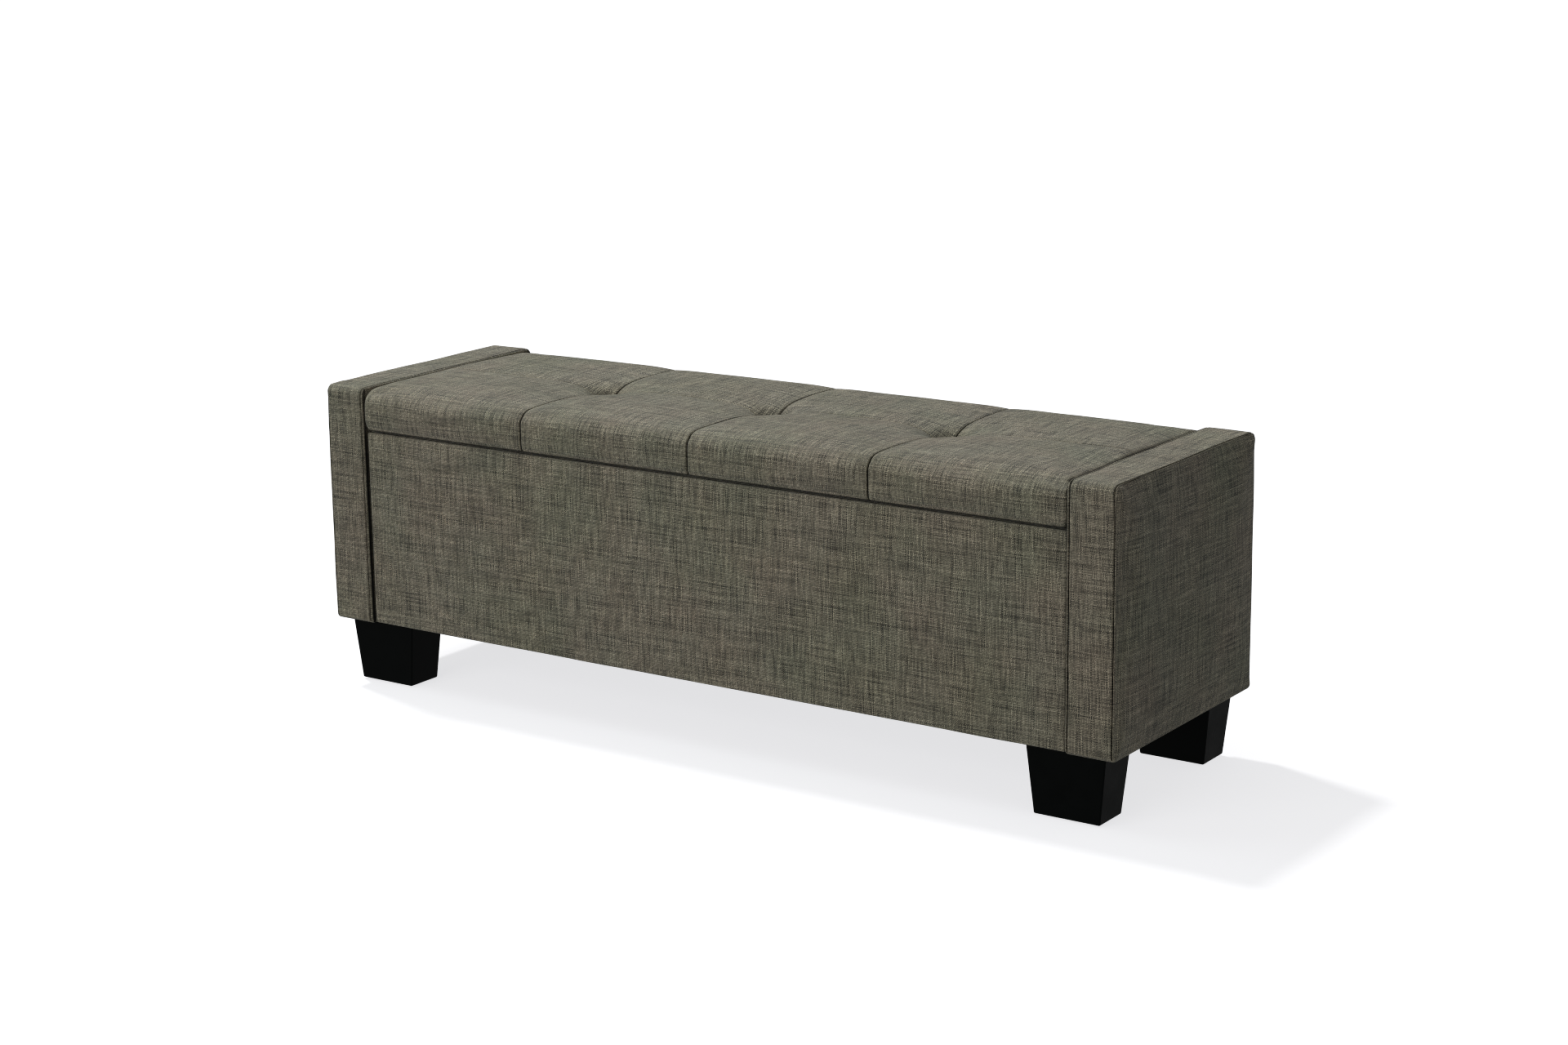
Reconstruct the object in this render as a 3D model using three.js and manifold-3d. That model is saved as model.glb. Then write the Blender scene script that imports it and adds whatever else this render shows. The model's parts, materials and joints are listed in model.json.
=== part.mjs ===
// Upholstered storage bench: a tufted lid, hinged at the back, between two padded end panels,
// over a lined bin that stands on four tapered block feet.
//
// Millimetres. +X runs along the bench, the back is +Y, +Z is up and the floor is z = 0.
// "left" is -X and "right" is +X, as seen from the front.

import * as THREE from 'three';
import { RoundedBoxGeometry } from 'three/addons/geometries/RoundedBoxGeometry.js';
import { mergeVertices } from 'three/addons/utils/BufferGeometryUtils.js';
import Module from 'manifold-3d';

const wasm = await Module();
wasm.setup();

// ---------------------------------------------------------------- driving dimensions

const bench = { length: 1280, depth: 380, height: 440 };
const gap = 0.3; // left between pieces that touch
const roundSides = 20; // sides of a round piece

// End panels: a hollow timber frame between two boards, in a padded fabric cover.
const end = { thickness: 70, bottom: 93, edgeRadius: 8, skin: 5, turnUnder: 12 };
end.innerFace = bench.length / 2 - end.thickness;
const endFrame = { innerBoard: 12, outerBoard: 6, timber: 30 };

// Front and back panels: one board each, in a cover that wraps over its top and bottom edges.
const panel = { face: 182, board: 15, skin: 3, returnSkin: 2, returnHeight: 27 };
panel.frontTop = 375.4; // the lid rests on it through two thin bumpers
panel.backTop = 372; // lower, for the hinge leaves
panel.bottom = end.bottom + 1.3;
panel.edgeRadius = 6;
panel.boardOuter = panel.face - panel.skin - gap;
panel.boardInner = panel.boardOuter - panel.board;
panel.innerFace = panel.boardInner - gap - panel.returnSkin;
panel.halfLength = end.innerFace - gap;
panel.boardHalfLength = panel.halfLength - 4;

// Bin floor, its cleats and the blocks that the feet are bolted to.
const floor = { top: 130.3, thickness: 12, halfDepth: panel.innerFace - gap };
floor.bottom = floor.top - floor.thickness;
const block = { length: 68, depth: 60, bottom: panel.bottom + panel.skin };
const cleat = { depth: 20 };
const lining = { thickness: 1, top: 368 };
const dustCover = { thickness: 0.7, inset: 14 };

// Feet: tapered blocks set in from the outer faces, with a glide under each.
const foot = {
  top: [113, 66],
  bottom: [94, 57],
  centre: [563.5, 142],
  cornerRadius: 3,
};
const glide = { radius: 14, flatRadius: 12.5, height: 2 };
const bolt = { radius: 4, x: 545, low: 58, high: 114, clothHole: 6 };

// Lid: a board and a foam slab in a fabric cover, pulled down by three blind tufts.
const lid = { halfLength: 565, halfDepth: 186, bottom: 378, edgeRadius: 12, skin: 3 };
lid.cavity = { x: lid.halfLength - lid.skin, y: lid.halfDepth - lid.skin };
lid.cavity.low = lid.bottom + lid.skin;
lid.cavity.high = bench.height - lid.skin;
const lidBoard = { thickness: 12, edgeInset: 9 };
const lidMouth = { x: 530, y: 150 }; // half sizes of the opening under the cover
const lidCloth = { x: 548, y: 160, thickness: 0.7 };
const tuft = { spacing: 283, mouthRadius: 34, neckRadius: 5, depth: 22 };
const tie = { washerRadius: 11, washer: 1.5, cordRadius: 1.5, toggleRadius: 6, toggle: 2.4 };

// Butt hinges along the top of the back panel, with their axis at the lid's rear edge.
const hinge = { y: 185.8, z: 374.6, x: 380, leaf: 1.5, leafFront: 150, halfWidth: 31.5 };
hinge.knuckleRadius = 3.3;
hinge.knuckleGap = 0.5;
hinge.middleHalf = 10.25; // half width of the lid's knuckle
hinge.pinRadius = 1.5;
hinge.boreRadius = 1.7;

// Slotted stays. Both pivots are as far from the hinge axis, so an arm turns half as far as the lid.
const stay = { radius: 122, pivotZ: 357, restAngle: 24, openAngle: 95 };
stay.arm = { x: 558.4, thickness: 2, halfWidth: 9, tip: 6 };
stay.pinRadius = 4;
stay.slotHalf = 4.3;
stay.headRadius = 7;
stay.head = 1.5;
stay.plate = 2;

const bumper = { radius: 4.5, x: 400, y: 168 };

// Each material's colour and finish.
const finishes = {
  fabric: { color: 0x8a8578, roughness: 0.92, metalness: 0 },
  cloth: { color: 0x26262a, roughness: 0.95, metalness: 0 },
  foam: { color: 0xe9e2cf, roughness: 0.9, metalness: 0 },
  timber: { color: 0xc7a574, roughness: 0.75, metalness: 0 },
  lacquer: { color: 0x111211, roughness: 0.35, metalness: 0 },
  steel: { color: 0x9a9da0, roughness: 0.35, metalness: 1 },
  plastic: { color: 0x2b2b2c, roughness: 0.6, metalness: 0 },
  rubber: { color: 0x1b1b1b, roughness: 0.85, metalness: 0 },
};

// ---------------------------------------------------------------- shape helpers

// A closed three.js geometry as a solid that can be joined and cut.
function solid(geometry) {
  const bare = geometry.clone();
  bare.deleteAttribute('normal');
  bare.deleteAttribute('uv');
  const merged = mergeVertices(bare, 1e-4);
  return new wasm.Manifold(new wasm.Mesh({
    numProp: 3,
    vertProperties: new Float32Array(merged.attributes.position.array),
    triVerts: new Uint32Array(merged.index.array),
  }));
}

// A solid back as a three.js geometry.
function geometryOf(body) {
  const mesh = body.getMesh();
  const geometry = new THREE.BufferGeometry();
  geometry.setAttribute('position', new THREE.BufferAttribute(mesh.vertProperties, 3));
  geometry.setIndex(new THREE.BufferAttribute(mesh.triVerts, 1));
  geometry.computeVertexNormals();
  return geometry;
}

// The centre and the size of the box between two opposite corners, in any order.
function extentOf(a, b) {
  const box = new THREE.Box3().setFromPoints([new THREE.Vector3(...a), new THREE.Vector3(...b)]);
  return { centre: box.getCenter(new THREE.Vector3()), size: box.getSize(new THREE.Vector3()) };
}

function box(a, b) {
  const { centre, size } = extentOf(a, b);
  return new THREE.BoxGeometry(size.x, size.y, size.z).translate(centre.x, centre.y, centre.z);
}

function roundedBox(a, b, radius, segments = 2) {
  const { centre, size } = extentOf(a, b);
  const geometry = new RoundedBoxGeometry(size.x, size.y, size.z, segments, radius);
  return geometry.translate(centre.x, centre.y, centre.z);
}

// A cylinder along X between two x places, centred on (y, z).
function rodAlongX(radius, x0, x1, y, z, sides = roundSides) {
  const geometry = new THREE.CylinderGeometry(radius, radius, Math.abs(x1 - x0), sides);
  return geometry.rotateZ(Math.PI / 2).translate((x0 + x1) / 2, y, z);
}

// A cylinder along Z between two heights, centred on (x, y).
function rodAlongZ(radius, z0, z1, x, y, sides = roundSides) {
  const geometry = new THREE.CylinderGeometry(radius, radius, z1 - z0, sides);
  return geometry.rotateX(Math.PI / 2).translate(x, y, (z0 + z1) / 2);
}

// A turned piece on a vertical axis. The profile is [radius, z] pairs from the bottom up.
function turned(profile, x, y) {
  const points = profile.map(([r, z]) => new THREE.Vector2(r, z));
  return new THREE.LatheGeometry(points, roundSides).rotateX(Math.PI / 2).translate(x, y, 0);
}

// A section drawn in (y, z), extruded along X between two x places.
function prismAlongX(shape, x0, x1) {
  const depth = Math.abs(x1 - x0);
  const geometry = new THREE.ExtrudeGeometry(shape, { depth, bevelEnabled: false, curveSegments: 8 });
  const sectionToWorld = new THREE.Matrix4().makeBasis(
    new THREE.Vector3(0, 1, 0),
    new THREE.Vector3(0, 0, 1),
    new THREE.Vector3(1, 0, 0),
  );
  return geometry.applyMatrix4(sectionToWorld).translate(Math.min(x0, x1), 0, 0);
}

// ---------------------------------------------------------------- scene graph helpers

const storageBench = new THREE.Group();
storageBench.name = 'storage_bench';
const base = new THREE.Group();
const lidGroup = new THREE.Group();
storageBench.add(base, lidGroup);

function add(group, name, geometry, finish) {
  const mesh = new THREE.Mesh(geometry, new THREE.MeshStandardMaterial(finishes[finish]));
  mesh.name = name;
  group.add(mesh);
}

const sides = [['left', -1], ['right', 1]];
const faces = [['front', -1], ['rear', 1]];

// ---------------------------------------------------------------- end panels

function addEndPanel(side, sign) {
  const halfDepth = bench.depth / 2;
  const inner = end.innerFace;
  const outer = bench.length / 2;
  const spread = (x, y, z) => [sign * x, y, z];

  const outside = roundedBox(
    spread(inner, -halfDepth, end.bottom),
    spread(outer, halfDepth, bench.height),
    end.edgeRadius,
  );
  const inside = box(
    spread(inner + end.skin, -halfDepth + end.skin, end.bottom + end.skin),
    spread(outer - end.skin, halfDepth - end.skin, bench.height - end.skin),
  );
  const mouth = box(
    spread(inner + end.turnUnder, -halfDepth + end.turnUnder, end.bottom - 1),
    spread(outer - end.turnUnder, halfDepth - end.turnUnder, end.bottom + end.skin + 1),
  );
  const cover = solid(outside).subtract(solid(inside)).subtract(solid(mouth));
  add(base, `${side}_end_cover`, geometryOf(cover), 'fabric');

  // The frame fills the cover: two boards, with posts and rails between them.
  const frame = {
    inner: inner + end.skin + gap,
    outer: outer - end.skin - gap,
    y: halfDepth - end.skin - gap,
    low: end.bottom + end.skin + gap,
    high: bench.height - end.skin - gap,
  };
  const timberInner = frame.inner + endFrame.innerBoard + gap;
  const timberOuter = frame.outer - endFrame.outerBoard - gap;
  const postInner = frame.y - endFrame.timber;
  const railEnd = postInner - gap;

  add(base, `${side}_end_inner_board`, box(
    spread(frame.inner, -frame.y, frame.low),
    spread(frame.inner + endFrame.innerBoard, frame.y, frame.high),
  ), 'timber');
  add(base, `${side}_end_outer_board`, box(
    spread(frame.outer - endFrame.outerBoard, -frame.y, frame.low),
    spread(frame.outer, frame.y, frame.high),
  ), 'timber');
  for (const [face, way] of faces) {
    add(base, `${side}_end_${face}_post`, box(
      spread(timberInner, way * postInner, frame.low),
      spread(timberOuter, way * frame.y, frame.high),
    ), 'timber');
  }
  add(base, `${side}_end_top_rail`, box(
    spread(timberInner, -railEnd, frame.high - endFrame.timber),
    spread(timberOuter, railEnd, frame.high),
  ), 'timber');
  add(base, `${side}_end_bottom_rail`, box(
    spread(timberInner, -railEnd, frame.low),
    spread(timberOuter, railEnd, frame.low + endFrame.timber),
  ), 'timber');
}

// ---------------------------------------------------------------- front and back panels

// The cover's section: over the face and both edges of the board, and a little way down its back.
function panelCoverSection(sign, top) {
  const { face, innerFace, bottom, edgeRadius: r, skin } = panel;
  const boardFace = face - skin;
  const boardBack = innerFace + panel.returnSkin;
  const shape = new THREE.Shape();
  shape.moveTo(sign * face, bottom + r);
  shape.lineTo(sign * face, top - r);
  shape.quadraticCurveTo(sign * face, top, sign * (face - r), top);
  shape.lineTo(sign * innerFace, top);
  shape.lineTo(sign * innerFace, top - panel.returnHeight);
  shape.lineTo(sign * boardBack, top - panel.returnHeight);
  shape.lineTo(sign * boardBack, top - skin);
  shape.lineTo(sign * boardFace, top - skin);
  shape.lineTo(sign * boardFace, bottom + skin);
  shape.lineTo(sign * boardBack, bottom + skin);
  shape.lineTo(sign * boardBack, bottom + panel.returnHeight);
  shape.lineTo(sign * innerFace, bottom + panel.returnHeight);
  shape.lineTo(sign * innerFace, bottom);
  shape.lineTo(sign * (face - r), bottom);
  shape.quadraticCurveTo(sign * face, bottom, sign * face, bottom + r);
  return shape;
}

function addPanel(name, sign, top) {
  const { halfLength, boardHalfLength } = panel;
  const cover = prismAlongX(panelCoverSection(sign, top), -halfLength, halfLength);
  add(base, `${name}_cover`, cover, 'fabric');
  add(base, `${name}_board`, box(
    [-boardHalfLength, sign * panel.boardInner, panel.bottom + panel.skin + gap],
    [boardHalfLength, sign * panel.boardOuter, top - panel.skin - gap],
  ), 'timber');
}

// ---------------------------------------------------------------- bin

function addBinFloor() {
  const halfLength = panel.halfLength - 1;
  add(base, 'bottom_board', box(
    [-halfLength, -floor.halfDepth, floor.bottom],
    [halfLength, floor.halfDepth, floor.top],
  ), 'timber');

  const underBoard = floor.bottom - gap;
  const blockEnd = halfLength - block.length;
  for (const [face, way] of faces) {
    add(base, `${face}_cleat`, box(
      [-blockEnd + gap, way * floor.halfDepth, block.bottom],
      [blockEnd - gap, way * (floor.halfDepth - cleat.depth), underBoard],
    ), 'timber');
    for (const [side, sign] of sides) {
      const body = solid(box(
        [sign * halfLength, way * floor.halfDepth, block.bottom],
        [sign * blockEnd, way * (floor.halfDepth - block.depth), underBoard],
      ));
      const hole = rodAlongZ(
        bolt.radius + gap, block.bottom - 1, bolt.high + gap, sign * bolt.x, way * foot.centre[1],
      );
      add(base, `${face}_${side}_corner_block`, geometryOf(body.subtract(solid(hole))), 'timber');
    }
  }
}

function addBinCloths() {
  const tubLow = floor.top + gap;
  const halfDepth = floor.halfDepth;
  const halfLength = panel.halfLength - gap;
  const wall = lining.thickness;
  const tub = solid(box([-halfLength, -halfDepth, tubLow], [halfLength, halfDepth, lining.top]));
  const hollow = solid(box(
    [-halfLength + wall, -halfDepth + wall, tubLow + wall],
    [halfLength - wall, halfDepth - wall, lining.top + 1],
  ));
  add(base, 'storage_lining', geometryOf(tub.subtract(hollow)), 'cloth');

  const high = panel.bottom - gap;
  const low = high - dustCover.thickness;
  const x = panel.halfLength - gap;
  const y = panel.face - dustCover.inset;
  let sheet = solid(box([-x, -y, low], [x, y, high]));
  for (const [, way] of faces) {
    for (const [, sign] of sides) {
      const hole = rodAlongZ(bolt.clothHole, low - 1, high + 1, sign * bolt.x, way * foot.centre[1]);
      sheet = sheet.subtract(solid(hole));
    }
  }
  add(base, 'base_dust_cover', geometryOf(sheet), 'cloth');
}

// ---------------------------------------------------------------- feet

// A rectangular block with rounded corners that narrows from its top to its bottom.
function taperedBlock(top, bottom, radius, low, high) {
  const [w, d] = [top[0] / 2, top[1] / 2];
  const shape = new THREE.Shape();
  shape.absarc(w - radius, d - radius, radius, 0, Math.PI / 2);
  shape.absarc(-w + radius, d - radius, radius, Math.PI / 2, Math.PI);
  shape.absarc(-w + radius, -d + radius, radius, Math.PI, Math.PI * 1.5);
  shape.absarc(w - radius, -d + radius, radius, Math.PI * 1.5, Math.PI * 2);
  const height = high - low;
  const geometry = new THREE.ExtrudeGeometry(shape, { depth: height, bevelEnabled: false, curveSegments: 4 });
  const place = geometry.attributes.position;
  for (let i = 0; i < place.count; i += 1) {
    if (place.getZ(i) < height / 2) {
      place.setX(i, place.getX(i) * bottom[0] / top[0]);
      place.setY(i, place.getY(i) * bottom[1] / top[1]);
    }
  }
  return geometry.translate(0, 0, low);
}

function addFoot(side, sign, face, way) {
  const [x, y] = [sign * foot.centre[0], way * foot.centre[1]];
  const boltX = sign * bolt.x;
  const low = glide.height + gap;
  const high = end.bottom - gap;
  const shape = taperedBlock(foot.top, foot.bottom, foot.cornerRadius, low, high).translate(x, y, 0);
  const hole = rodAlongZ(bolt.radius + gap, bolt.low - gap, high + 1, boltX, y);
  add(base, `${face}_${side}_foot`, geometryOf(solid(shape).subtract(solid(hole))), 'lacquer');
  add(base, `${face}_${side}_foot_bolt`, rodAlongZ(bolt.radius, bolt.low, bolt.high, boltX, y, 16), 'steel');
  const profile = [[0, 0], [glide.flatRadius, 0], [glide.radius, 1], [glide.radius, glide.height]];
  profile.push([0, glide.height]);
  add(base, `${face}_${side}_glide`, turned(profile, x, y), 'plastic');
}

// ---------------------------------------------------------------- lid

// The hollow that a tuft pulls into the top of the lid, made wider and deeper by grow.
function tuftHollow(x, grow) {
  const height = tuft.depth + 2;
  const low = bench.height - tuft.depth - grow;
  const cone = new THREE.CylinderGeometry(
    tuft.mouthRadius + grow, tuft.neckRadius + grow, height, roundSides,
  );
  return solid(cone.rotateX(Math.PI / 2).translate(x, 0, low + height / 2));
}

const tuftPlaces = [['left', -tuft.spacing], ['middle', 0], ['right', tuft.spacing]];
const boardLow = lid.cavity.low + gap;
const boardHigh = boardLow + lidBoard.thickness;

function addLidCover() {
  const outside = solid(roundedBox(
    [-lid.halfLength, -lid.halfDepth, lid.bottom],
    [lid.halfLength, lid.halfDepth, bench.height],
    lid.edgeRadius,
  ));
  let inside = solid(roundedBox(
    [-lid.cavity.x, -lid.cavity.y, lid.cavity.low],
    [lid.cavity.x, lid.cavity.y, lid.cavity.high],
    lid.edgeRadius - lid.skin,
  ));
  const mouth = solid(box(
    [-lidMouth.x, -lidMouth.y, lid.bottom - 1],
    [lidMouth.x, lidMouth.y, lid.cavity.low + 1],
  ));
  let cover = outside;
  for (const [, x] of tuftPlaces) {
    cover = cover.subtract(tuftHollow(x, 0));
    inside = inside.subtract(tuftHollow(x, lid.skin));
  }
  add(lidGroup, 'lid_cover', geometryOf(cover.subtract(inside).subtract(mouth)), 'fabric');
}

function addLidFilling() {
  const radius = lid.edgeRadius - lid.skin;
  let foam = solid(roundedBox(
    [-lid.cavity.x + gap, -lid.cavity.y + gap, boardHigh + gap],
    [lid.cavity.x - gap, lid.cavity.y - gap, lid.cavity.high - gap],
    radius,
  ));
  const inset = lidBoard.edgeInset + gap;
  let board = solid(box(
    [-lid.cavity.x + inset, -lid.cavity.y + inset, boardLow],
    [lid.cavity.x - inset, lid.cavity.y - inset, boardHigh],
  ));
  for (const [name, x] of tuftPlaces) {
    const toggleTop = bench.height - tuft.depth - lid.skin - gap * 2;
    const toggleLow = toggleTop - tie.toggle;
    const washerTop = boardLow - gap;
    const washerLow = washerTop - tie.washer;
    const cordHole = solid(rodAlongZ(tie.cordRadius + gap, washerLow, toggleTop, x, 0));
    const pocket = solid(rodAlongZ(tie.toggleRadius + gap, toggleLow - gap, toggleTop + 2, x, 0));
    foam = foam.subtract(tuftHollow(x, lid.skin + gap)).subtract(cordHole).subtract(pocket);
    board = board.subtract(cordHole);
    const profile = [
      [0, washerLow], [tie.washerRadius, washerLow], [tie.washerRadius, washerTop],
      [tie.cordRadius, washerTop], [tie.cordRadius, toggleLow],
      [tie.toggleRadius, toggleLow], [tie.toggleRadius, toggleTop], [0, toggleTop],
    ];
    add(lidGroup, `${name}_tuft_tie`, turned(profile, x, 0), 'plastic');
  }
  add(lidGroup, 'lid_foam', geometryOf(foam), 'foam');
  add(lidGroup, 'lid_board', geometryOf(board), 'timber');
}

function addLidDustCover() {
  const high = lid.bottom - gap;
  add(lidGroup, 'lid_dust_cover', box(
    [-lidCloth.x, -lidCloth.y, high - lidCloth.thickness],
    [lidCloth.x, lidCloth.y, high],
  ), 'cloth');
}

// ---------------------------------------------------------------- hinges

// A leaf with its knuckles: a plate whose low face is at z, and a barrel over each x span.
function hingeLeaf(centre, z, spans) {
  const { y, leaf, halfWidth, knuckleRadius: r } = hinge;
  const plateEnd = y - r - hinge.knuckleGap;
  let body = solid(box(
    [centre - halfWidth, hinge.leafFront, z],
    [centre + halfWidth, plateEnd, z + leaf],
  ));
  for (const [from, to] of spans) {
    body = body.add(solid(box([centre + from, plateEnd - 1, z], [centre + to, y, z + leaf])));
    body = body.add(solid(rodAlongX(r, centre + from, centre + to, y, hinge.z)));
  }
  const bore = rodAlongX(hinge.boreRadius, centre - halfWidth - 1, centre + halfWidth + 1, y, hinge.z);
  return geometryOf(body.subtract(solid(bore)));
}

function addHinge(side, sign) {
  const centre = sign * hinge.x;
  const { halfWidth, middleHalf, knuckleGap } = hinge;
  const outerStart = middleHalf + knuckleGap;
  const outerSpans = [[-halfWidth, -outerStart], [outerStart, halfWidth]];
  const baseLeafLow = panel.backTop + gap;
  const lidLeafLow = lid.bottom - gap - lidCloth.thickness - gap - hinge.leaf;
  add(base, `${side}_hinge_base_leaf`, hingeLeaf(centre, baseLeafLow, outerSpans), 'steel');
  const lidSpans = [[-middleHalf, middleHalf]];
  add(lidGroup, `${side}_hinge_lid_leaf`, hingeLeaf(centre, lidLeafLow, lidSpans), 'steel');

  const capStart = halfWidth + gap;
  const capEnd = capStart + 1;
  let pin = solid(rodAlongX(hinge.pinRadius, centre - capEnd, centre + capEnd, hinge.y, hinge.z));
  for (const way of [-1, 1]) {
    const cap = rodAlongX(
      hinge.pinRadius + 1, centre + way * capStart, centre + way * capEnd, hinge.y, hinge.z,
    );
    pin = pin.add(solid(cap));
  }
  add(base, `${side}_hinge_pin`, geometryOf(pin), 'steel');
}

// ---------------------------------------------------------------- slotted stays

// The lid's pivot and the wall's stud at rest, as points in (y, z).
const pivotDrop = Math.asin((hinge.z - stay.pivotZ) / stay.radius);
const studDrop = pivotDrop + THREE.MathUtils.degToRad(stay.restAngle);
const onStayCircle = (angle) => new THREE.Vector2(
  hinge.y - stay.radius * Math.cos(angle),
  hinge.z - stay.radius * Math.sin(angle),
);
const lidPivot = onStayCircle(pivotDrop);
const wallStud = onStayCircle(studDrop);

// How far apart the two are with the lid opened by an angle in degrees.
function pivotDistance(opened) {
  const half = THREE.MathUtils.degToRad(stay.restAngle + opened) / 2;
  return 2 * stay.radius * Math.sin(half);
}

// A long shape with two round ends on the line through the pivot, between two distances along it.
function stadium(PathClass, from, to, halfWidth) {
  const along = wallStud.clone().sub(lidPivot).normalize();
  const angle = along.angle();
  const start = lidPivot.clone().addScaledVector(along, from);
  const finish = lidPivot.clone().addScaledVector(along, to);
  const path = new PathClass();
  path.absarc(finish.x, finish.y, halfWidth, angle - Math.PI / 2, angle + Math.PI / 2);
  path.absarc(start.x, start.y, halfWidth, angle + Math.PI / 2, angle + Math.PI * 1.5);
  path.closePath();
  return path;
}

function addStayArm(side, sign) {
  const slotStart = pivotDistance(0);
  const slotEnd = pivotDistance(stay.openAngle);
  const { x, thickness, halfWidth, tip } = stay.arm;
  const outline = stadium(THREE.Shape, 0, slotEnd + stay.slotHalf + tip - halfWidth, halfWidth);
  outline.holes.push(stadium(THREE.Path, slotStart, slotEnd, stay.slotHalf));
  const eye = new THREE.Path();
  eye.absarc(lidPivot.x, lidPivot.y, stay.slotHalf, 0, Math.PI * 2);
  outline.holes.push(eye);
  const arm = new THREE.Group();
  storageBench.add(arm);
  add(arm, `${side}_stay_arm`, prismAlongX(outline, sign * x, sign * (x + thickness)), 'steel');
}

// On the lid: a plate under the board, an ear that hangs from it, and a headed pin through the arm.
function addStayLidBracket(side, sign) {
  const earOuter = stay.arm.x - gap - 0.1;
  const earInner = earOuter - stay.plate;
  const plateReach = 28;
  const plateHalf = 20;
  const top = lid.bottom - gap - lidCloth.thickness - gap;
  const headStart = stay.arm.x + stay.arm.thickness + gap + 0.1;
  const { x: y, y: z } = lidPivot;
  let bracket = solid(box(
    [sign * earOuter, y - plateHalf, top - stay.plate],
    [sign * (earOuter - plateReach), y + plateHalf, top],
  ));
  const parts = [
    box([sign * earInner, y - stay.arm.halfWidth, z], [sign * earOuter, y + stay.arm.halfWidth, top]),
    rodAlongX(stay.arm.halfWidth, sign * earInner, sign * earOuter, y, z),
    rodAlongX(stay.pinRadius, sign * earInner, sign * (headStart + stay.head), y, z),
    rodAlongX(stay.headRadius, sign * headStart, sign * (headStart + stay.head), y, z),
  ];
  for (const part of parts) {
    bracket = bracket.add(solid(part));
  }
  add(lidGroup, `${side}_stay_lid_bracket`, geometryOf(bracket), 'steel');
}

// On the bin's end wall: a plate, a collar, and a headed stud that runs in the arm's slot.
function addStayWallBracket(side, sign) {
  const wallFace = panel.halfLength - gap - lining.thickness - gap;
  const plateInner = wallFace - stay.plate;
  const collarInner = stay.arm.x + stay.arm.thickness + 0.6;
  const headOuter = stay.arm.x - 0.5;
  const headInner = headOuter - stay.head;
  const { x: y, y: z } = wallStud;
  const halfPlate = 16;
  let bracket = solid(box(
    [sign * plateInner, y - halfPlate, z - halfPlate],
    [sign * wallFace, y + halfPlate, z + halfPlate],
  ));
  const parts = [
    rodAlongX(stay.headRadius, sign * collarInner, sign * wallFace, y, z),
    rodAlongX(stay.pinRadius, sign * headInner, sign * wallFace, y, z),
    rodAlongX(stay.headRadius, sign * headInner, sign * headOuter, y, z),
  ];
  for (const part of parts) {
    bracket = bracket.add(solid(part));
  }
  add(base, `${side}_stay_wall_bracket`, geometryOf(bracket), 'steel');
}

// ---------------------------------------------------------------- lid bumpers

function addBumper(side, sign) {
  const low = panel.frontTop + gap;
  const high = lid.bottom - gap;
  const r = bumper.radius;
  const profile = [[0, low], [r, low], [r, high - 0.9], [r - 1.5, high], [0, high]];
  add(base, `${side}_lid_bumper`, turned(profile, sign * bumper.x, -bumper.y), 'rubber');
}

// ---------------------------------------------------------------- assembly

addPanel('front', -1, panel.frontTop);
addPanel('back', 1, panel.backTop);
addBinFloor();
addBinCloths();
addLidCover();
addLidFilling();
addLidDustCover();
for (const [side, sign] of sides) {
  addEndPanel(side, sign);
  for (const [face, way] of faces) {
    addFoot(side, sign, face, way);
  }
  addHinge(side, sign);
  addStayArm(side, sign);
  addStayLidBracket(side, sign);
  addStayWallBracket(side, sign);
  addBumper(side, sign);
}

export default storageBench;
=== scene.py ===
import json
import math

import bpy
import numpy as np
from mathutils import Matrix, Vector


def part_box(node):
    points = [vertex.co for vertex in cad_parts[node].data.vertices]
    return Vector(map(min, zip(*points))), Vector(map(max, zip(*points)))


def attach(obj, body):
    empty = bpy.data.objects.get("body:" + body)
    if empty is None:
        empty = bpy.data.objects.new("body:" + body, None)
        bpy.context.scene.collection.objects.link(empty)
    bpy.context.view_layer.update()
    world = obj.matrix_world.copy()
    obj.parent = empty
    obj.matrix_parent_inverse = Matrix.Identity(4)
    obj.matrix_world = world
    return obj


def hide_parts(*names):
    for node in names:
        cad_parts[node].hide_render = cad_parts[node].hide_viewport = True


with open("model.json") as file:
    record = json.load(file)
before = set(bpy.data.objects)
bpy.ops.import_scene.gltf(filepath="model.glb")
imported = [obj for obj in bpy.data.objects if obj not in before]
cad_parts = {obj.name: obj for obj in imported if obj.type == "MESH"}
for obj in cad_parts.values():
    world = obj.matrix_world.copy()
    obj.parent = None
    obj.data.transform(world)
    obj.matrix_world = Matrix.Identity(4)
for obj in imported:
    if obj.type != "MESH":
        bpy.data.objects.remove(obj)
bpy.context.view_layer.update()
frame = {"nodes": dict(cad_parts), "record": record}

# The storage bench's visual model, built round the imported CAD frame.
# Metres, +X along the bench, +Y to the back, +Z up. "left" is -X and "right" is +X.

SCENE = bpy.context.scene
SIDES = (("left", -1), ("right", 1))
FACES = ("front", "rear")

# ------------------------------------------------------------------ driving sizes

SAME = 1e-6  # places closer than this are one place
FAR = 1000.0  # so far off that nothing is rounded there
SIDE_CLOTH_SHIFT = 0.37  # the ends' cloth is cut from another place than the front's
SWELL_FRAMES = 16  # length of each cloth simulation

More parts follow.
